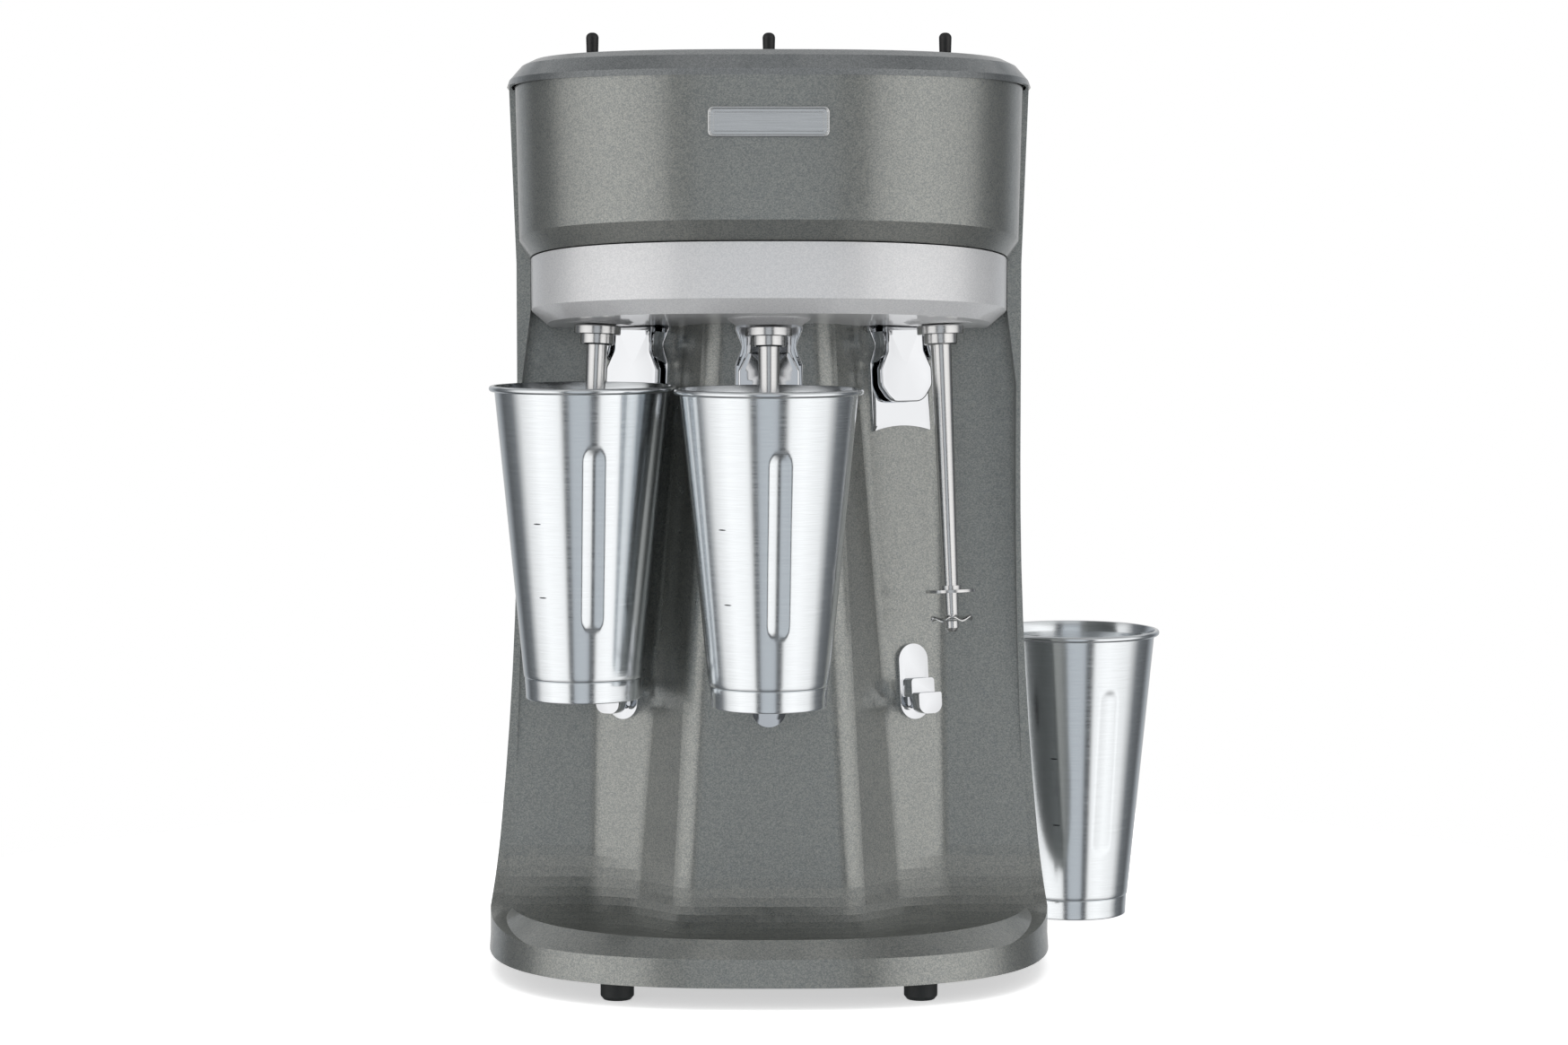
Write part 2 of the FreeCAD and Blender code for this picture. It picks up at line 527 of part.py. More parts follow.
def guide_bracket():
    """The fixed plate behind a paddle: waisted, with deep flanges at its waist and two ears for the hinge pin."""
    side = [(19, -28.5), (19, 10.5), (15.2, 21), (18.8, 30), (18.8, 44)]
    outline = [V(x, -1.5, z) for x, z in side] + [V(-x, -1.5, z) for x, z in reversed(side)]
    edges = [Part.LineSegment(first, second).toShape() for first, second in zip(outline, outline[1:])]
    edges.append(Part.Arc(outline[-1], V(0, -1.5, -25.5), outline[0]).toShape())
    plate = Part.Face(Part.Wire(edges)).extrude(V(0, 1.5, 0))
    flange = [(18.6, 11, 0), (15.2, 21, 8), (18.0, 28, 0), (16.6, 28, 0), (13.8, 21, 8), (17.2, 11, 0)]
    for points in (flange, [(-x, z, r) for x, z, r in reversed(flange)]):
        plate = plate.fuse(prism_y(points, -12, -1))
    y, z = PADDLE_HINGE
    for x in (-13.2, 11.6):
        ear = box(x, x + 1.6, y - 3.4, -1, z - 4, z + 4)
        plate = plate.fuse(ear)
    return plate.cut(rod_x(1.5, -20, 20, y, z))


def cup_hook():
    """Obround plate on the column with a step that the cup stands behind and a lip that it stands on."""
    drop = CUP_Z - FACE_Z
    plate = prism_y([(-9.5, drop - 18, 9.4), (9.5, drop - 18, 9.4), (9.5, drop + 25, 9.4), (-9.5, drop + 25, 9.4)],
                    -2.6, 0)
    step = prism_y([(-7.5, drop - 5, 0), (7.5, drop - 5, 0), (7.5, drop + 5.5, 2), (-7.5, drop + 5.5, 2)], -12, -2)
    lip = prism_y([(-7.5, drop - 14.5, 5.5), (7.5, drop - 14.5, 5.5), (7.5, drop - 2.6, 1.2), (-7.5, drop - 2.6, 1.2)],
                  -19.5, -11.5)
    web = prism_y([(-5, drop - 12, 3), (5, drop - 12, 3), (5, drop - 3, 0), (-5, drop - 3, 0)], -12, -2)
    return plate.fuse(step).fuse(lip).fuse(web)


def cup():
    """A tapered steel cup, standing at the origin: recessed bottom, seam step and rolled rim."""
    base_r, seam_z = CUP_LOW_R, 11.8
    slope = (CUP_TOP_R - base_r - 1.0) / (CUP_HEIGHT - seam_z)
    seam_r = base_r + 1.0
    top_z = CUP_HEIGHT - 1.8
    outline = [(0, 2.4, 0), (base_r - CUP_WALL, 2.4, 0), (base_r - CUP_WALL, 0, 0), (base_r, 0, 0),
               (seam_r - 0.4, seam_z, 0), (seam_r, seam_z + 0.6, 0), (seam_r + slope * (top_z - seam_z), top_z, 0),
               (CUP_RIM_R - 0.6, top_z - 0.6, 0), (CUP_RIM_R, top_z + 0.6, 0), (CUP_RIM_R - 0.8, CUP_HEIGHT, 0),
               (CUP_TOP_R - 0.4, CUP_HEIGHT, 0), (CUP_TOP_R - CUP_WALL - 0.4, CUP_HEIGHT - 2.2, 0),
               (seam_r - CUP_WALL, seam_z, 0), (base_r - CUP_WALL - 1.5, 3.4, 0), (0, 3.4, 0)]
    return revolved(outline)


def toggle_parts():
    """Three switches through the cap: bodies with bushing and nut, and levers that rock on a cross pin."""
    levers, bodies = {}, []
    lean = math.tan(math.radians(CAP_LEAN))
    top = CAP_TOP - (TOGGLE_Y - HEAD_FRONT - CROWN_INSET) * lean
    pivot = top - TOGGLE_PIVOT_DROP
    lever = revolved([(0, -4.5, 0), (1.6, -4.5, 0), (1.6, -2, 0), (2.6, -1, 0), (2.6, 1, 0), (1.5, 3, 0),
                      (1.5, 10.5, 0), (3.3, 11, 0.4), (3.6, 22, 3), (0, 22, 0)])
    lever = lever.fuse(rod_x(1.0, -3.1, 3.1, 0, 0))
    opening = revolved([(0, 0, 0), (3.4, 0, 0), (4.9, 13, 0), (0, 13, 0)])
    case = box(-8, 8, -10, 10, -30, -5.2).cut(box(-3.4, 3.4, -7, 7, -24, -5))
    bushing = cylinder(6.0, -5.5, 9.6)
    nut = prism_z([(9 * math.cos(math.radians(60 * i)), 9 * math.sin(math.radians(60 * i)), 0.5) for i in range(6)],
                  TOGGLE_PIVOT_DROP + 0.4, TOGGLE_PIVOT_DROP + 2.2)
    body = case.fuse(bushing).fuse(nut).cut(opening).cut(cylinder(3.4, -6, 1))
    for name, x in (("left", -TOGGLE_X), ("centre", 0.0), ("right", TOGGLE_X)):
        levers[name] = placed(lever, 0, V(x, TOGGLE_Y, pivot))
        bodies.append(placed(body, 0, V(x, TOGGLE_Y, pivot)))
    return levers, bodies


def station_parts():
    levers, switch_bodies = toggle_parts()
    bearings, pins, screws, switches = [], [], [], []
    y, z = PADDLE_HINGE
    pin = rod_x(1.5, -13.6, 13.6, y, z)
    drop = CUP_Z - FACE_Z
    hook_screw = Part.makeCylinder(2.6, 1.6, V(0, WALL + 0.1, drop + 16), V(0, 1, 0))
    hook_screw = hook_screw.cut(box(-2, 2, WALL + 1, WALL + 2, drop + 15.7, drop + 16.3))
    for name, station in STATIONS.items():
        for piece, shape in spindle_pieces().items():
            write(f"{name}_{piece}", to_station(on_spindle(shape), station))
        stack, frame, rings = motor_pieces()
        write(f"{name}_motor_stator", to_station(on_spindle(stack), station))
        write(f"{name}_motor_frame", to_station(on_spindle(frame), station))
        bearings += [to_station(on_spindle(shape), station) for shape in rings]
        write(f"{name}_switch_paddle", to_station(on_face(paddle()), station))
        write(f"{name}_guide_bracket", to_station(on_face(guide_bracket()), station))
        write(f"{name}_cup_hook", to_station(on_face(cup_hook()), station))
        write(f"{name}_toggle", levers[name])
        pins.append(to_station(on_face(pin), station))
        screws.append(to_station(on_face(hook_screw), station))
        switch = box(-9, 9, WALL, WALL + 9, 20, 32)
        switches.append(to_station(on_face(switch), station))
    write("motor_bearings", Part.makeCompound(bearings))
    write("paddle_pins", Part.makeCompound(pins))
    write("hook_screws", Part.makeCompound(screws))
    write("cup_switches", Part.makeCompound(switches))
    write("toggle_switch_bodies", Part.makeCompound(switch_bodies))


def cups():
    for name in ("left", "centre"):
        x, y, _ = STATIONS[name]
        write(f"{name}_cup", placed(cup(), 0, V(x, y, CUP_Z)))
    write("spare_cup", placed(cup(), 0, V(*SPARE_CUP, 0)))


base_parts()
rear_parts()
head_parts()
station_parts()
cups()
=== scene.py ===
"""Looks of the three-spindle milkshake mixer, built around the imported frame. Metres, +Z up, -Y to the front."""
import bmesh
import bpy
import json
import math
from mathutils import Matrix, Vector


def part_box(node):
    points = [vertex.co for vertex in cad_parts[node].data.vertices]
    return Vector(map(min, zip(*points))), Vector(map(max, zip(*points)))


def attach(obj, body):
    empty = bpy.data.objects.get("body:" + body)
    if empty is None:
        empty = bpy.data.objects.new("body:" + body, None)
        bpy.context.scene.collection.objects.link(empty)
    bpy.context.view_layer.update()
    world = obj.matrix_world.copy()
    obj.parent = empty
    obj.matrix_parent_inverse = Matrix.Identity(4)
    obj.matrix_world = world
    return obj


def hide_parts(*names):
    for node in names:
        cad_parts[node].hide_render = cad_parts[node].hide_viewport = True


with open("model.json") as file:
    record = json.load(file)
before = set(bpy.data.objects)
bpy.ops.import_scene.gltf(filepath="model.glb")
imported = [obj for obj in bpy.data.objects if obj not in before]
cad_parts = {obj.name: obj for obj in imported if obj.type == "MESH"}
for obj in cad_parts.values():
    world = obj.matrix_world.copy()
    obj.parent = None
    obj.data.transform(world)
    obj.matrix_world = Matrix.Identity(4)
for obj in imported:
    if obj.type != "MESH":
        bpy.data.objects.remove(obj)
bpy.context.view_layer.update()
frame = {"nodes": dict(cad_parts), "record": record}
NODES = frame["nodes"]
SIDES = ("left", "centre", "right")
MM = 0.001


# --- camera ----------------------------------------------------------------------------------------------------------
IMAGE_WIDTH, SENSOR = 1748, 36.0
FOCAL_PX = 4286.5               # focal length in pixels of that image
EYE = Vector((0.0019, -2.150, 0.4233))
PITCH, YAW = math.radians(4.459), math.radians(0.174)


def make_camera():
    data = bpy.data.cameras.new("camera")
    data.sensor_width = SENSOR
    data.lens = SENSOR * FOCAL_PX / IMAGE_WIDTH
    data.clip_end = 50.0
    camera = bpy.data.objects.new("camera", data)
    camera.location = EYE
    camera.rotation_euler = (math.radians(90) - PITCH, 0.0, -YAW)
    bpy.context.scene.collection.objects.link(camera)
    bpy.context.scene.camera = camera


# --- materials -------------------------------------------------------------------------------------------------------
def srgb(r, g, b):
    """Linear colour from 0-255 display values."""
    def linear(c):
        c /= 255.0
        return c / 12.92 if c <= 0.04045 else ((c + 0.055) / 1.055) ** 2.4
    return (linear(r), linear(g), linear(b), 1.0)


def new_material(name, colour, metallic, roughness, **sockets):
    """A Principled material; keyword arguments set more of its sockets, with _ for a space."""
    material = bpy.data.materials.new(name)
    material.use_nodes = True
    shader = material.node_tree.nodes["Principled BSDF"]
    shader.inputs["Base Color"].default_value = colour
    shader.inputs["Metallic"].default_value = metallic
    shader.inputs["Roughness"].default_value = roughness
    for key, value in sockets.items():
        shader.inputs[key.replace("_", " ")].default_value = value
    return material, material.node_tree, shader


def add(tree, kind, **settings):
    """A node, with its properties and its unlinked inputs set by name."""
    node = tree.nodes.new(kind)
    for key, value in settings.items():
        if hasattr(node, key):
            setattr(node, key, value)
        else:
            node.inputs[key.replace("_", " ")].default_value = value
    return node


def object_coordinates(tree, scale=(1.0, 1.0, 1.0)):
    """Object coordinates in metres, scaled."""
    coordinates = tree.nodes.new("ShaderNodeTexCoord")
    mapping = tree.nodes.new("ShaderNodeMapping")
    mapping.inputs["Scale"].default_value = scale
    tree.links.new(coordinates.outputs["Object"], mapping.inputs["Vector"])
    return mapping.outputs["Vector"]


def noise(tree, vector, scale, detail=3.0, roughness=0.55):
    node = add(tree, "ShaderNodeTexNoise", Scale=scale, Detail=detail, Roughness=roughness)
    tree.links.new(vector, node.inputs["Vector"])
    return node.outputs["Fac"]


def remap(tree, value, low, high, from_low=0.3, from_high=0.7):
    node = add(tree, "ShaderNodeMapRange")
    node.inputs["From Min"].default_value = from_low
    node.inputs["From Max"].default_value = from_high
    node.inputs["To Min"].default_value = low
    node.inputs["To Max"].default_value = high
    tree.links.new(value, node.inputs["Value"])
    return node.outputs["Result"]


def mix_colours(tree, factor, first, second):
    node = add(tree, "ShaderNodeMix", data_type="RGBA")
    colours = [socket for socket in node.inputs if socket.type == "RGBA"]
    factors = [socket for socket in node.inputs if socket.type == "VALUE" and socket.name == "Factor"]
    tree.links.new(factor, factors[0])
    colours[0].default_value = first
    colours[1].default_value = second
    return [socket for socket in node.outputs if socket.type == "RGBA"][0]


def bump(tree, shader, height, distance, strength=1.0):
    node = add(tree, "ShaderNodeBump", Strength=strength, Distance=distance)
    tree.links.new(height, node.inputs["Height"])
    tree.links.new(node.outputs["Normal"], shader.inputs["Normal"])


def metallic_paint(name, dark, light, metallic=0.75, roughness=0.3, fleck=0.5):
    """Metallic enamel: fine flakes in two tones under a clear coat with a slight orange peel."""
    material, tree, shader = new_material(name, dark, metallic, roughness, Coat_Weight=0.5, Coat_Roughness=0.06)
    vector = object_coordinates(tree)
    flakes = add(tree, "ShaderNodeTexVoronoi", Scale=1900.0)
    tree.links.new(vector, flakes.inputs["Vector"])
    brightness = add(tree, "ShaderNodeSeparateColor")
    tree.links.new(flakes.outputs["Color"], brightness.inputs["Color"])
    share = remap(tree, brightness.outputs["Red"], 0.5 - fleck, 0.5 + fleck, 0.0, 1.0)
    tree.links.new(mix_colours(tree, share, dark, light), shader.inputs["Base Color"])
    peel = noise(tree, vector, 190.0, 2.0)
    tree.links.new(remap(tree, peel, roughness - 0.03, roughness + 0.05), shader.inputs["Roughness"])
    bump(tree, shader, peel, 0.00002, 0.25)
    return material


def brushed_metal(name, colour, roughness, stretch, depth=0.000012, tint=0.92):
    """Brushed or turned metal: streaks of noise that are long where stretch is small."""
    material, tree, shader = new_material(name, colour, 1.0, roughness)
    vector = object_coordinates(tree, stretch)
    streaks = noise(tree, vector, 1.0, 4.0, 0.6)
    tree.links.new(remap(tree, streaks, roughness * 0.75, roughness * 1.35), shader.inputs["Roughness"])
    darker = tuple(c * tint for c in colour[:3]) + (1.0,)
    tree.links.new(mix_colours(tree, remap(tree, streaks, 0.0, 1.0), darker, colour), shader.inputs["Base Color"])
    bump(tree, shader, streaks, depth, 0.6)
    return material


def polished_metal(name, colour, roughness):
    """Chrome plate with a faint ripple and hazy patches."""
    material, tree, shader = new_material(name, colour, 1.0, roughness)
    vector = object_coordinates(tree)
    haze = noise(tree, vector, 60.0, 3.0)
    tree.links.new(remap(tree, haze, roughness * 0.6, roughness * 1.8), shader.inputs["Roughness"])
    bump(tree, shader, noise(tree, vector, 90.0, 1.0), 0.00003, 0.3)
    return material


def moulded(name, dark, light, roughness, grain=900.0, depth=0.00003):
    """Moulded plastic or rubber with a fine grain."""
    material, tree, shader = new_material(name, dark, 0.0, roughness)
    vector = object_coordinates(tree)
    speckle = noise(tree, vector, grain, 3.0)
    tree.links.new(mix_colours(tree, remap(tree, speckle, 0.0, 1.0), dark, light), shader.inputs["Base Color"])
    tree.links.new(remap(tree, speckle, roughness - 0.06, roughness + 0.08), shader.inputs["Roughness"])
    bump(tree, shader, speckle, depth, 0.6)
    return material


PAINT = metallic_paint("grey_enamel", srgb(121, 125, 125), srgb(158, 159, 154))
CAP_PAINT = metallic_paint("cap_enamel", srgb(116, 120, 122), srgb(146, 149, 150))
SILVER = metallic_paint("silver_enamel", srgb(206, 207, 209), srgb(224, 224, 225), 0.35, 0.38, 0.5)
CUP_STEEL = brushed_metal("cup_steel", srgb(232, 236, 239), 0.17, (60.0, 60.0, 3200.0), 0.00001, 0.88)
SPINDLE_STEEL = brushed_metal("spindle_steel", srgb(214, 214, 214), 0.2, (60.0, 60.0, 2600.0), 0.000006)
PLATE_STEEL = brushed_metal("plate_steel", srgb(216, 217, 217), 0.2, (60.0, 60.0, 5200.0), 0.000016, 0.78)
CHROME = polished_metal("chrome", srgb(216, 218, 221), 0.04)
ZINC = brushed_metal("zinc_plate", srgb(170, 170, 172), 0.3, (900.0, 900.0, 900.0))
MOTOR_STEEL = brushed_metal("motor_steel", srgb(110, 112, 116), 0.4, (120.0, 120.0, 2600.0))
CAST_ALUMINIUM = brushed_metal("cast_aluminium", srgb(180, 182, 184), 0.45, (700.0, 700.0, 700.0), 0.00005)
BLACK_SHEET = moulded("black_sheet", srgb(36, 37, 39), srgb(50, 51, 53), 0.45, 500.0)
SWITCH_METAL = brushed_metal("switch_metal", srgb(120, 121, 124), 0.3, (900.0, 900.0, 900.0))
BLACK_PLASTIC = moulded("black_plastic", srgb(14, 14, 15), srgb(24, 24, 25), 0.35)
RUBBER = moulded("rubber", srgb(16, 20, 21), srgb(30, 34, 35), 0.6, 600.0, 0.00008)
ETCHED = brushed_metal("etched_steel", srgb(70, 72, 74), 0.4, (900.0, 900.0, 900.0))

SLOT_MATERIALS = {
    "body_paint": PAINT,
    "cap_paint": CAP_PAINT,
    "silver_paint": SILVER,
    "plate_steel": PLATE_STEEL,
    "cup_steel": CUP_STEEL,
    "spindle_steel": SPINDLE_STEEL,
    "chrome": CHROME,
    "screw_steel": ZINC,
    "motor_steel": MOTOR_STEEL,
    "aluminium": CAST_ALUMINIUM,
    "dark_steel": BLACK_SHEET,
    "switch_metal": SWITCH_METAL,
    "black_plastic": BLACK_PLASTIC,
    "rubber": RUBBER,
}
SLOT_OF = {entry["node"]: entry["material_slot"] for entry in frame["record"]["subparts"]}


def dress_cad_nodes():
    """Every carried-over CAD node gets the material of its slot."""
    for name, node in NODES.items():
        node.data.materials.clear()
        node.data.materials.append(SLOT_MATERIALS[SLOT_OF[name]])


# --- pieces ----------------------------------------------------------------------------------------------------------
def body_of(node):
    for body, members in frame["record"]["behaviour"]["bodies"].items():
        if node in members:
            return body
    return None


def finish_piece(name, mesh, material, node, at=(0.0, 0.0, 0.0)):
    """Puts a new mesh in the scene in place of a CAD node, on that node's body."""
    piece = bpy.data.objects.new(name, mesh)
    piece.location = at
    mesh.materials.append(material)
    bpy.context.scene.collection.objects.link(piece)
    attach(piece, body_of(node))
    return piece


def softened(node, width, segments=2, angle=28.0):
    """A copy of a CAD node with its sharp edges rounded, in the node's place."""
    mesh = NODES[node].data.copy()
    work = bmesh.new()
    work.from_mesh(mesh)
    bmesh.ops.remove_doubles(work, verts=work.verts, dist=2e-6)
    bmesh.ops.dissolve_limit(work, angle_limit=math.radians(0.8), verts=work.verts, edges=work.edges)
    sharp = [edge for edge in work.edges if edge.is_manifold and edge.calc_face_angle(0.0) > math.radians(angle)]
    bmesh.ops.bevel(work, geom=sharp, offset=width, segments=segments, profile=0.5, affect="EDGES",
                    clamp_overlap=True)
    work.to_mesh(mesh)
    work.free()
    mesh.materials.clear()
    piece = finish_piece(f"{node}_finished", mesh, SLOT_MATERIALS[SLOT_OF[node]], node)
    shade(piece)
    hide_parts(node)


def closed_mesh(work, name):
    """A mesh from finished work, with its faces turned outwards."""
    bmesh.ops.recalc_face_normals(work, faces=work.faces)
    mesh = bpy.data.meshes.new(name)
    work.to_mesh(mesh)
    work.free()
    return mesh


def shade(piece, angle=32.0):
    """Smooth shading that keeps edges sharper than angle."""
    mesh = piece.data
    mesh.polygons.foreach_set("use_smooth", [True] * len(mesh.polygons))
    mesh.set_sharp_from_angle(angle=math.radians(angle))


# --- cups ------------------------------------------------------------------------------------------------------------
CUP_HEIGHT, CUP_LOW, CUP_TOP, CUP_RIM, CUP_SHEET = 175 * MM, 32.2 * MM, 49.2 * MM, 52 * MM, 0.9 * MM
SEAM = 11.8 * MM                # height of the line where the bottom is joined on
FLUTE_LOW, FLUTE_HIGH, FLUTE_HALF, FLUTE_DEPTH, FLUTES = 47 * MM, 136 * MM, 6.2 * MM, 1.3 * MM, 3
AROUND = 288                    # columns of faces around a cup
CUPS = {"left_cup": 11.0, "centre_cup": 8.0, "spare_cup": 24.0}     # degrees from the front to a flute


def wall(z):
    """The radius of a cup's outside at a height above its seam."""
    return CUP_LOW + 1.0 * MM + (CUP_TOP - CUP_LOW - 1.0 * MM) * (z - SEAM) / (CUP_HEIGHT - SEAM)


def cup_profile():
    """A cup's section, from the middle of the outside of its bottom, over the rim, to the middle inside."""
    bead = 1.7 * MM
    top = CUP_HEIGHT - 2.6 * bead
    low = [(0.0, 2.4 * MM), (CUP_LOW - 4 * MM, 2.4 * MM), (CUP_LOW - 1.6 * MM, 2.2 * MM),
           (CUP_LOW - 1.0 * MM, 1.2 * MM), (CUP_LOW - 0.8 * MM, 0.25 * MM), (CUP_LOW - 0.3 * MM, 0.0),
           (CUP_LOW + 0.1 * MM, 0.5 * MM)]
    band = [(CUP_LOW + 0.55 * MM * i / 4, 1.2 * MM + (SEAM - 1.8 * MM) * i / 4) for i in range(5)]
    groove = [(CUP_LOW + 0.5 * MM, SEAM - 0.3 * MM), (CUP_LOW + 0.15 * MM, SEAM),
              (wall(SEAM) - 0.2 * MM, SEAM + 0.3 * MM)]
    rows = 78
    outside = [(wall(z), z) for z in (SEAM + 0.8 * MM + (top - SEAM - 0.8 * MM) * i / rows for i in range(rows + 1))]
    centre_r, centre_z = CUP_RIM - bead, CUP_HEIGHT - bead
    roll = []
    for i in range(13):
        angle = math.radians(-150 + 270 * i / 12)
        roll.append((centre_r + bead * math.cos(angle), centre_z + bead * math.sin(angle)))
    inside = [(r - CUP_SHEET, z) for r, z in reversed(outside)]
    floor = [(CUP_LOW - 0.6 * MM, SEAM - 4 * MM), (CUP_LOW - 2.2 * MM, 5.2 * MM), (CUP_LOW - 5 * MM, 3.6 * MM),
             (CUP_LOW * 0.5, 3.4 * MM), (0.0, 3.4 * MM)]
    return low + band + groove + outside + roll + inside + floor


def flute_push(angle, radius, z, turn):
    """How far the sheet is pressed inwards at a place on the wall."""
    push = 0.0
    for i in range(FLUTES):
        away = angle - math.radians(turn - 90 + 360 / FLUTES * i)
        across = math.atan2(math.sin(away), math.cos(away)) * radius
        along = max(FLUTE_LOW - z, 0.0, z - FLUTE_HIGH)
        share = math.hypot(across, along) / FLUTE_HALF
        if share < 1.0:
            push = FLUTE_DEPTH * (1 - share ** 2) ** 1.1
    return push


def cup_mesh(name, turn):
    profile = cup_profile()
    work = bmesh.new()
    columns = []
    for i in range(AROUND):
        angle = 2 * math.pi * i / AROUND
        column = []
        for radius, z in profile:
            if radius > 0.0:
                reach = radius - flute_push(angle, radius, z, turn) if SEAM < z < CUP_HEIGHT - 6 * MM else radius
                column.append(work.verts.new((reach * math.cos(angle), reach * math.sin(angle), z)))
        columns.append(column)
    bottom = work.verts.new((0, 0, profile[0][1]))
    inner = work.verts.new((0, 0, profile[-1][1]))
    for i, column in enumerate(columns):
        following = columns[(i + 1) % AROUND]
        work.faces.new((bottom, following[0], column[0]))
        work.faces.new((inner, column[-1], following[-1]))
        for j in range(len(column) - 1):
            work.faces.new((column[j], following[j], following[j + 1], column[j + 1]))
    return closed_mesh(work, name)


def tick_mesh(name, turn):
    """Short capacity marks on the outside of a cup, as thin bent strips."""
    work = bmesh.new()
    half_height, steps = 0.35 * MM, 6
    for z, lean in ((59 * MM, 2.0), (100 * MM, 3.0)):
        radius = wall(z)
        middle = math.radians(turn - 90 - 42 - lean)
        half_angle = 2.3 * MM / radius
        loops = []
        for i in range(steps + 1):
            share = 2 * i / steps - 1
            angle = middle + half_angle * share
            high = half_height * math.sqrt(max(0.1, 1 - share ** 2))
            corners = [(radius - 0.3 * MM, -high), (radius + 0.14 * MM, -high), (radius + 0.14 * MM, high),
                       (radius - 0.3 * MM, high)]
            loops.append([work.verts.new((r * math.cos(angle), r * math.sin(angle), z + up)) for r, up in corners])
        for first, second in zip(loops, loops[1:]):
            for j in range(4):
                work.faces.new((first[j], second[j], second[(j + 1) % 4], first[(j + 1) % 4]))
        work.faces.new(loops[0])
        work.faces.new(reversed(loops[-1]))
    return closed_mesh(work, name)


def make_cups():
    for node, turn in CUPS.items():
        low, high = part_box(node)
        at = ((low.x + high.x) / 2, (low.y + high.y) / 2, low.z)
        piece = finish_piece(f"{node}_sheet", cup_mesh(node, turn), CUP_STEEL, node, at)
        shade(piece, 50.0)
        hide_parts(node)
        finish_piece(f"{node}_marks", tick_mesh(f"{node}_marks", turn), ETCHED, node, at)


# --- agitators, nameplate and plates ---------------------------------------------------------------------------------
SPINDLE_LEAN = math.radians(4.72)


def spindle_frame(node, turn):
    """A matrix from a disc's own frame, with its axis along Z, to its place on the leaning spindle."""
    low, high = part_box(node)
    return (Matrix.Translation((low + high) / 2) @ Matrix.Rotation(math.radians(turn), 4, "Z")
            @ Matrix.Rotation(-SPINDLE_LEAN, 4, "X"))


def wavy_disc_mesh(name, radius=12.7 * MM, thick=1.1 * MM, waves=6, rise=1.25 * MM):
    """The lower agitator: a thin disc whose edge waves up and down, with a domed hub."""
    rings = [(2.6, 1.7), (5.2, 1.7), (6.0, 0.6), (7.5, 0.0), (9.5, 0.0), (11.2, 0.0), (12.3, 0.0)]
    around = 96
    work = bmesh.new()
    sides = []
    for side in (1, -1):
        loops = []
        for r, dome in rings + [(radius / MM, 0.0)]:
            loop = []
            for i in range(around):
                angle = 2 * math.pi * i / around
                share = max(0.0, (r - 6.5) / (radius / MM - 6.5))
                scallop = 1 - 0.05 * share * (1 - math.cos(waves * angle))
                wave = rise * share ** 1.5 * math.cos(waves * angle)
                half = thick / 2 * (0.55 if r * MM >= radius else 1.0)
                z = wave + side * half + (dome * MM * 0.5 if side > 0 else 0.0)
                loop.append(work.verts.new((r * MM * scallop * math.cos(angle), r * MM * scallop * math.sin(angle), z)))
            loops.append(loop)
        sides.append(loops)
    for loops, flip in zip(sides, (False, True)):
        for inner, outer in zip(loops, loops[1:]):
            for i in range(around):
                j = (i + 1) % around
                quad = (inner[i], outer[i], outer[j], inner[j])
                work.faces.new(tuple(reversed(quad)) if flip else quad)
    for k in (0, -1):
        for i in range(around):
            j = (i + 1) % around
            work.faces.new((sides[0][k][i], sides[0][k][j], sides[1][k][j], sides[1][k][i]))
    return closed_mesh(work, name)


def make_agitators():
    for side, (_, _, turn) in STATIONS.items():
        node = f"{side}_lower_agitator"
        mesh = wavy_disc_mesh(node)
        mesh.transform(spindle_frame(node, turn))
        piece = finish_piece(f"{node}_blade", mesh, SPINDLE_STEEL, node)
        shade(piece, 40.0)
        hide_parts(node)


def rounded_rectangle(half_x, half_z, corner, steps=8):
    """Points around a rounded rectangle in X and Z, seen from the front."""
    points = []
    for quarter, (sx, sz) in enumerate(((1, 1), (-1, 1), (-1, -1), (1, -1))):
        for i in range(steps + 1):
            angle = math.radians(90 * quarter + 90 * i / steps)
            points.append((sx * (half_x - corner) + corner * math.cos(angle),
                           sz * (half_z - corner) + corner * math.sin(angle)))
    return points


PLATE_BEND = 0.45               # the nameplate follows the housing's curve, with this radius in metres
PLATE_THICK, PLATE_CORNER = 1.9, 3.2            # its thickness and its corners' radius, in millimetres


def make_nameplate():
    """A blank plate with a raised, rounded border and a thin raised line inside it."""
    low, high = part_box("nameplate")
    middle = (low + high) / 2
    half_x, half_z = (high.x - low.x) / 2, (high.z - low.z) / 2
    # inset from the edge and height above the plate's back, in millimetres
    section = [(0.0, 0.0), (0.0, 1.0), (0.12, 1.45), (0.45, 1.8), (0.8, 1.9), (1.15, 1.8), (1.45, 1.45), (1.6, 1.15),
               (3.0, 1.1), (3.12, 1.32), (3.32, 1.32), (3.44, 1.1), (4.6, 1.1)]
    work = bmesh.new()
    loops = []
    for inset, height in section:
        outline = rounded_rectangle(half_x - inset * MM, half_z - inset * MM, max(0.6, PLATE_CORNER - inset * 0.7) * MM)
        front = low.y + (PLATE_THICK - height) * MM
        loops.append([work.verts.new((middle.x + x, front + x * x / (2 * PLATE_BEND), middle.z + z))
                      for x, z in outline])
    for outer, inner in zip(loops, loops[1:]):
        for i in range(len(outer)):
            j = (i + 1) % len(outer)
            work.faces.new((outer[i], outer[j], inner[j], inner[i]))
    work.faces.new(loops[-1])
    work.faces.new(list(reversed(loops[0])))
    piece = finish_piece("nameplate_bordered", closed_mesh(work, "nameplate_bordered"), PLATE_STEEL, "nameplate")
    shade(piece, 35.0)
    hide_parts("nameplate")


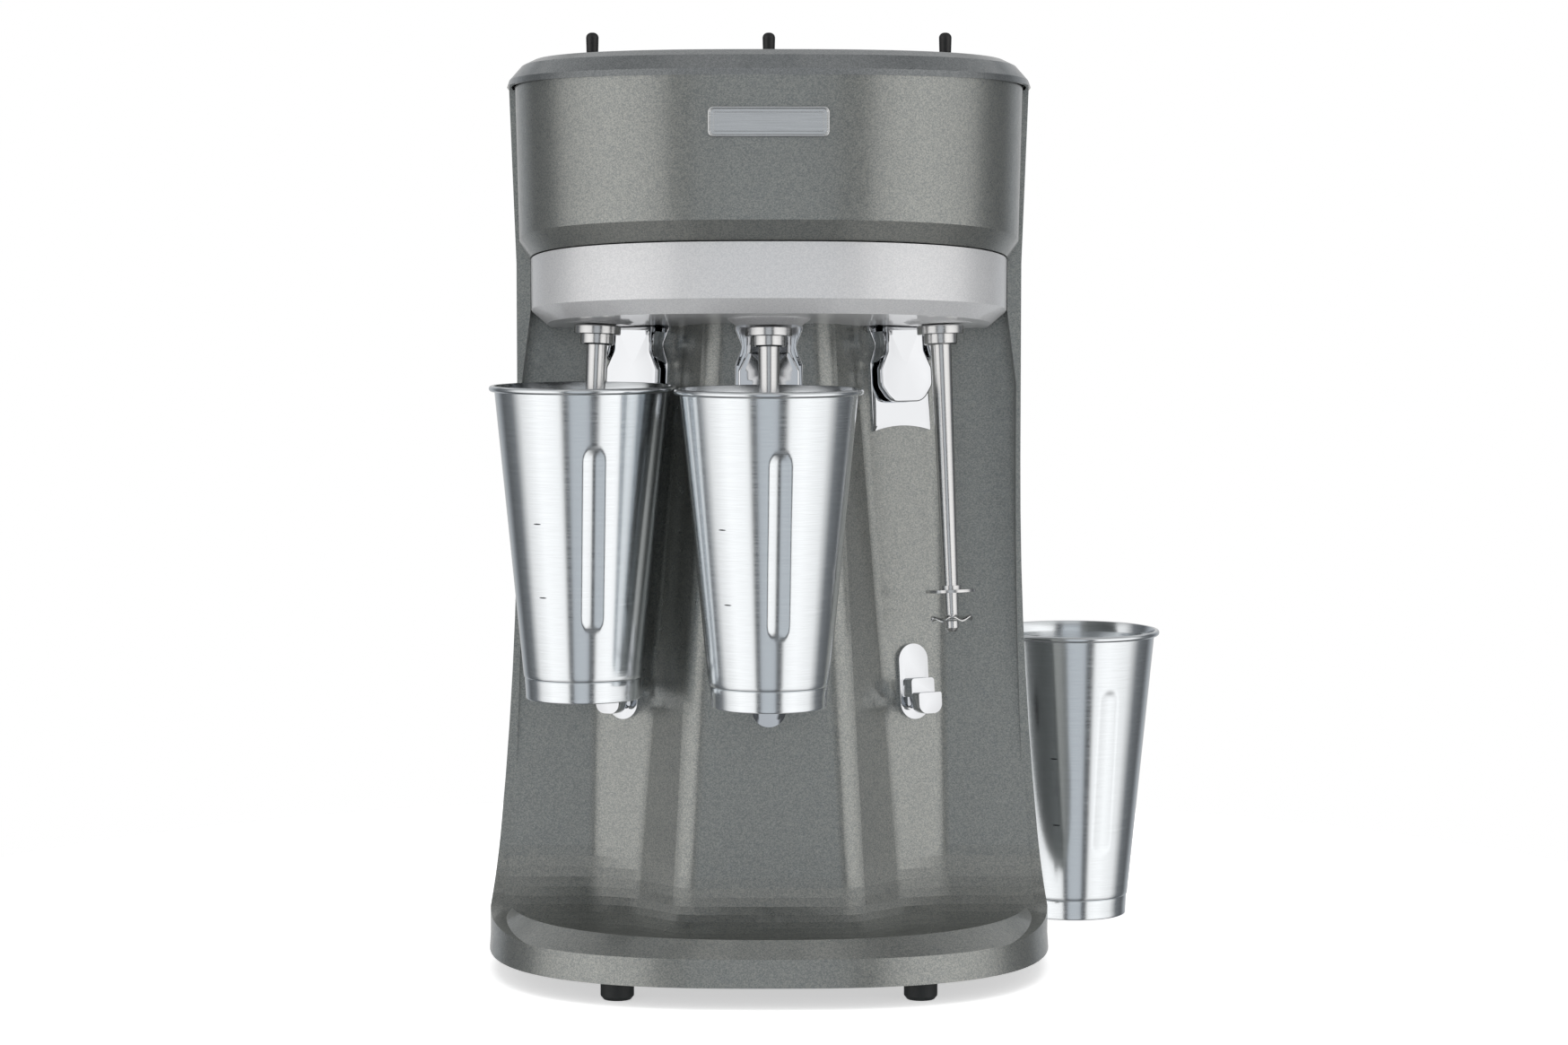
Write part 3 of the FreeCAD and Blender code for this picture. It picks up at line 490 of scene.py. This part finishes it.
# where each station stands and how it is turned, and the frame of the column's face behind it, in mm and degrees
STATIONS = {"left": (-104.0, -8.0, -29.0), "centre": (0.0, -50.0, 0.0), "right": (104.0, -8.0, 29.0)}
FACE_Y, FACE_Z, FACE_LEAN = 61.8, 333.0, 5.26
HINGE_Y, HINGE_Z = -5.2, 38.0


def face_frame(side):
    """A matrix from millimetres in the frame of a column face to its place in the scene."""
    x, y, turn = STATIONS[side]
    return (Matrix.Translation((x * MM, y * MM, 0)) @ Matrix.Rotation(math.radians(turn), 4, "Z")
            @ Matrix.Translation((0, FACE_Y * MM, FACE_Z * MM)) @ Matrix.Rotation(math.radians(-FACE_LEAN), 4, "X")
            @ Matrix.Scale(MM, 4))


def rounded_polygon(corners, steps=7):
    """Points around a closed outline, given its corners as x, z and radius."""
    points = []
    for i, (x, z, radius) in enumerate(corners):
        here, before, after = Vector((x, z)), Vector(corners[i - 1][:2]), Vector(corners[(i + 1) % len(corners)][:2])
        if not radius:
            points.append(here)
            continue
        first, second = (before - here).normalized(), (after - here).normalized()
        half = first.angle(second) / 2
        start, end = here + first * radius / math.tan(half), here + second * radius / math.tan(half)
        centre = here + (first + second).normalized() * radius / math.sin(half)
        for k in range(steps + 1):
            points.append(centre + (start.lerp(end, k / steps) - centre).normalized() * radius)
    return points


def inset_points(points, distance):
    """The outline moved inwards, for one that runs anticlockwise seen from the front."""
    moved = []
    for i, here in enumerate(points):
        first, second = (here - points[i - 1]).normalized(), (points[(i + 1) % len(points)] - here).normalized()
        normal = Vector((-first.y - second.y, first.x + second.x)).normalized()
        moved.append(here + normal * distance / max(0.5, normal.dot(Vector((-first.y, first.x)))))
    return moved


def skin(work, loops, closed=True):
    """Faces between successive loops of vertices."""
    for first, second in zip(loops, loops[1:]):
        for i in range(len(first) if closed else len(first) - 1):
            j = (i + 1) % len(first)
            work.faces.new((first[i], first[j], second[j], second[i]))


def pressed_plate(work, outline, section, dish=0.0):
    """A plate with a rolled rim. section is inset and y from its back edge to its front, and the front is dished."""
    loops = [[work.verts.new((p.x, y, p.y)) for p in inset_points(outline, inset)] for inset, y in section]
    inset, front = section[-1]
    inner = inset_points(outline, inset)
    middle = sum(inner, Vector((0, 0))) / len(inner)
    for share in (0.85, 0.66, 0.45, 0.22):
        y = front + dish * (1 - share ** 2)
        loops.append([work.verts.new((middle.x + (p.x - middle.x) * share, y, middle.y + (p.y - middle.y) * share))
                      for p in inner])
    skin(work, loops)
    work.faces.new(loops[0])
    tip = work.verts.new((middle.x, front + dish, middle.y))
    for i, vertex in enumerate(loops[-1]):
        work.faces.new((vertex, loops[-1][(i + 1) % len(inner)], tip))


def bar_x(work, points, x_low, x_high):
    """A bar along X with a closed section of y and z points."""
    loops = [[work.verts.new((x, y, z)) for y, z in points] for x in (x_low, x_high)]
    skin(work, loops)
    work.faces.new(loops[0])
    work.faces.new(loops[1])


def roller_x(work, profile, y, z, around=32):
    """A turned piece along X, given x and radius."""
    loops = [[work.verts.new((x, y + radius * math.cos(2 * math.pi * i / around),
                              z + radius * math.sin(2 * math.pi * i / around))) for i in range(around)]
             for x, radius in profile]
    skin(work, loops)
    work.faces.new(loops[0])
    work.faces.new(loops[-1])


def finished_mesh(work, name, matrix):
    """The mesh of pieces built in millimetres in a face's frame, moved to its place in the scene."""
    bmesh.ops.remove_doubles(work, verts=work.verts, dist=1e-4)
    mesh = closed_mesh(work, name)
    mesh.transform(matrix)
    return mesh


PADDLE_OUTLINE = [(-17.2, -3, 7), (-10.5, -12.2, 9), (10.5, -12.2, 9), (17.2, -3, 7), (17.2, 7, 5), (12.4, 17, 5),
                  (12.4, 32, 1), (-12.4, 32, 1), (-12.4, 17, 5), (-17.2, 7, 5)]
PADDLE_SECTION = [(1.5, -7.4), (1.4, -5.5), (0.9, -5.3), (0.2, -5.5), (0.0, -6.2), (0.0, -8.4), (0.25, -9.0),
                  (0.8, -9.35), (1.4, -9.4)]
BRACKET_SIDE = [(19, -28.5), (19, 10.5), (15.2, 21), (18.8, 30), (18.8, 44)]


def make_paddle(side):
    node = f"{side}_switch_paddle"
    work = bmesh.new()
    pressed_plate(work, rounded_polygon(PADDLE_OUTLINE), PADDLE_SECTION, 0.9)
    bar_x(work, [(-9.2, 29), (-7.7, 29), (HINGE_Y + 1.2, HINGE_Z - 2.4), (HINGE_Y - 1.6, HINGE_Z - 0.6)], -10.4, 10.4)
    roller_x(work, [(-11, 1.7), (-11, 2.8), (-10.5, 3.2), (10.5, 3.2), (11, 2.8), (11, 1.7)], HINGE_Y, HINGE_Z)
    piece = finish_piece(f"{node}_pressed", finished_mesh(work, node, face_frame(side)), CHROME, node)
    shade(piece, 40.0)
    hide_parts(node)


def flange(work, sign):
    """A bracket's flange: a thick strip that follows the waist, deep at its middle and run out at its foot."""
    stations = []
    for k in range(17):
        z = 10.0 + 18.0 * k / 16
        share = (z - 21.0) / 10.5
        x = 14.6 + (2.9 if z < 21 else 2.6) * min(1.0, share ** 2) ** 0.8
        depth = 1.4 + 10.6 * min(1.0, (z - 10.0) / 4.5) ** 0.6
        stations.append((x, z, depth))
    loops = []
    for x, z, depth in stations:
        section = [(x + 0.7, 0.0), (x + 0.7, 0.4 - depth), (x + 0.45, -depth), (x - 0.45, -depth),
                   (x - 0.7, 0.4 - depth), (x - 0.7, 0.0)]
        loops.append([work.verts.new((sign * across, min(-0.2, y), z)) for across, y in section])
    skin(work, loops)
    work.faces.new(loops[0])
    work.faces.new(loops[-1])


def make_bracket(side):
    node = f"{side}_guide_bracket"
    right = [Vector(point) for point in BRACKET_SIDE]
    left = [Vector((-x, z)) for x, z in reversed(BRACKET_SIDE)]
    arc = [Vector((19 * (k / 12 * 2 - 1), -28.5 + 3 * (1 - (k / 12 * 2 - 1) ** 2))) for k in range(1, 12)]
    smooth = rounded_polygon([(p.x, p.y, 0 if abs(p.y) > 28 else 5) for p in right + left])
    work = bmesh.new()
    pressed_plate(work, smooth + arc, [(0.0, 0.0), (0.0, -1.15), (0.12, -1.42), (0.4, -1.5)])
    for sign in (1, -1):
        flange(work, sign)
        ear = [(-8.6, 34.5), (-8.2, 34.1), (-1, 34), (-1, 42), (-8.2, 41.9), (-8.6, 41.5)]
        bar_x(work, ear, sign * 12.4 - 0.8, sign * 12.4 + 0.8)
    piece = finish_piece(f"{node}_pressed", finished_mesh(work, node, face_frame(side)), CHROME, node)
    shade(piece, 40.0)
    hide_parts(node)


SOFTENED = {
    "left_cup_hook": 0.9,
    "centre_cup_hook": 0.9,
    "right_cup_hook": 0.9,
}


# --- stage -----------------------------------------------------------------------------------------------------------
def disc(name, radius, location, around=128):
    mesh = bpy.data.meshes.new(name)
    rim = [(radius * math.cos(2 * math.pi * i / around), radius * math.sin(2 * math.pi * i / around), 0.0)
           for i in range(around)]
    mesh.from_pydata(rim, [], [tuple(range(around))])
    piece = bpy.data.objects.new(name, mesh)
    piece.location = location
    bpy.context.scene.collection.objects.link(piece)
    return piece


def area_light(name, location, target, size, power, colour=(1.0, 1.0, 1.0)):
    data = bpy.data.lights.new(name, "AREA")
    data.shape = "RECTANGLE"
    data.size, data.size_y = size
    data.energy = power
    data.color = colour
    light = bpy.data.objects.new(name, data)
    light.location = location
    light.rotation_euler = (Vector(target) - Vector(location)).to_track_quat("-Z", "Y").to_euler()
    bpy.context.scene.collection.objects.link(light)
    return light


FLOOR_RADIUS = 0.62
# light around the machine, by azimuth in degrees from straight behind the camera, positive to the right
STUDIO = [(-180, 0.7), (-146, 0.45), (-128, 0.12), (-104, 0.2), (-88, 0.95), (-60, 1.3), (-27, 1.2), (-23, 0.1),
          (-17, 0.1), (-14, 0.62), (12, 0.64), (15, 0.1), (23, 0.08), (27, 1.2), (50, 1.3), (84, 1.05), (104, 0.2),
          (128, 0.12), (146, 0.45), (180, 0.7)]
# how that light fades with height, from straight down to straight up, and the ring of light added above
HEIGHTS = [(0.0, 0.3), (0.14, 0.3), (0.26, 0.95), (0.5, 1.0), (0.68, 1.0), (0.76, 0.22), (0.95, 0.3), (1.0, 0.6)]
OVERHEAD = [(0.0, 0.0), (0.72, 0.0), (0.77, 0.4), (0.93, 0.25), (0.98, 0.0), (1.0, 0.0)]


def make_world():
    """Two wide soft boxes left and right of the camera with dark edges, a ceiling, and a plain pale backdrop."""
    world = bpy.data.worlds.new("studio")
    world.use_nodes = True
    tree = world.node_tree
    background = tree.nodes["Background"]
    coordinates = tree.nodes.new("ShaderNodeTexCoord")
    direction = tree.nodes.new("ShaderNodeSeparateXYZ")
    tree.links.new(coordinates.outputs["Generated"], direction.inputs["Vector"])
    towards = add(tree, "ShaderNodeMath", operation="MULTIPLY")
    towards.inputs[1].default_value = -1.0
    tree.links.new(direction.outputs["Y"], towards.inputs[0])
    azimuth = add(tree, "ShaderNodeMath", operation="ARCTAN2")
    tree.links.new(direction.outputs["X"], azimuth.inputs[0])
    tree.links.new(towards.outputs["Value"], azimuth.inputs[1])
    share = remap(tree, azimuth.outputs["Value"], 0.0, 1.0, -math.pi, math.pi)
    around = tree.nodes.new("ShaderNodeValToRGB")
    while len(around.color_ramp.elements) < len(STUDIO):
        around.color_ramp.elements.new(0.5)
    peak = max(level for _, level in STUDIO)
    for element, (degrees, level) in zip(around.color_ramp.elements, STUDIO):
        element.position = (degrees + 180) / 360
        value = level / peak
        cool = 1.05 if level < 0.7 else 0.99
        element.color = (value / cool, value, value * cool, 1.0)
    tree.links.new(share, around.inputs["Fac"])
    up = remap(tree, direction.outputs["Z"], 0.0, 1.0, -1.0, 1.0)
    light = around.outputs["Color"]
    for levels, how in ((HEIGHTS, "MULTIPLY"), (OVERHEAD, "ADD")):
        ramp = tree.nodes.new("ShaderNodeValToRGB")
        while len(ramp.color_ramp.elements) < len(levels):
            ramp.color_ramp.elements.new(0.5)
        for element, (position, level) in zip(ramp.color_ramp.elements, levels):
            element.position = position
            element.color = (level, level, level, 1.0)
        tree.links.new(up, ramp.inputs["Fac"])
        both = add(tree, "ShaderNodeMix", data_type="RGBA", blend_type=how)
        both.inputs[0].default_value = 1.0
        tree.links.new(light, both.inputs[6])
        tree.links.new(ramp.outputs["Color"], both.inputs[7])
        light = both.outputs[2]
    scaled = tree.nodes.new("ShaderNodeBackground")
    scaled.inputs["Strength"].default_value = peak
    tree.links.new(light, scaled.inputs["Color"])
    background.inputs["Color"].default_value = (1.0, 1.0, 1.0, 1.0)
    background.inputs["Strength"].default_value = 1.0
    paths = tree.nodes.new("ShaderNodeLightPath")
    chosen = tree.nodes.new("ShaderNodeMixShader")
    tree.links.new(paths.outputs["Is Camera Ray"], chosen.inputs["Fac"])
    tree.links.new(scaled.outputs["Background"], chosen.inputs[1])
    tree.links.new(background.outputs["Background"], chosen.inputs[2])
    tree.links.new(chosen.outputs["Shader"], tree.nodes["World Output"].inputs["Surface"])
    bpy.context.scene.world = world
    bpy.context.scene.view_settings.view_transform = "Standard"


def make_stage():
    floor = disc("floor", FLOOR_RADIUS, (0.0, 0.05, 0.0))
    white = (1.0, 1.0, 1.0, 1.0)
    material, tree, shader = new_material("pale_floor", white, 0.0, 0.7, Emission_Color=white, Emission_Strength=0.55)
    vector = object_coordinates(tree)
    mottle = remap(tree, noise(tree, vector, 3.0, 2.0), 0.0, 1.0)
    tree.links.new(mix_colours(tree, mottle, (0.93, 0.93, 0.93, 1), (0.95, 0.95, 0.95, 1)), shader.inputs["Base Color"])
    floor.data.materials.append(material)
    floor.visible_glossy = False
    ceiling = area_light("top_softbox", (0.0, 0.0, 2.4), (0.0, 0.0, 0.2), (2.4, 2.4), 30.0)
    ceiling.visible_glossy = False
    make_world()


make_camera()
dress_cad_nodes()
make_cups()
make_agitators()
make_nameplate()
for side in SIDES:
    make_paddle(side)
    make_bracket(side)
for node, width in SOFTENED.items():
    softened(node, width * MM)
make_stage()
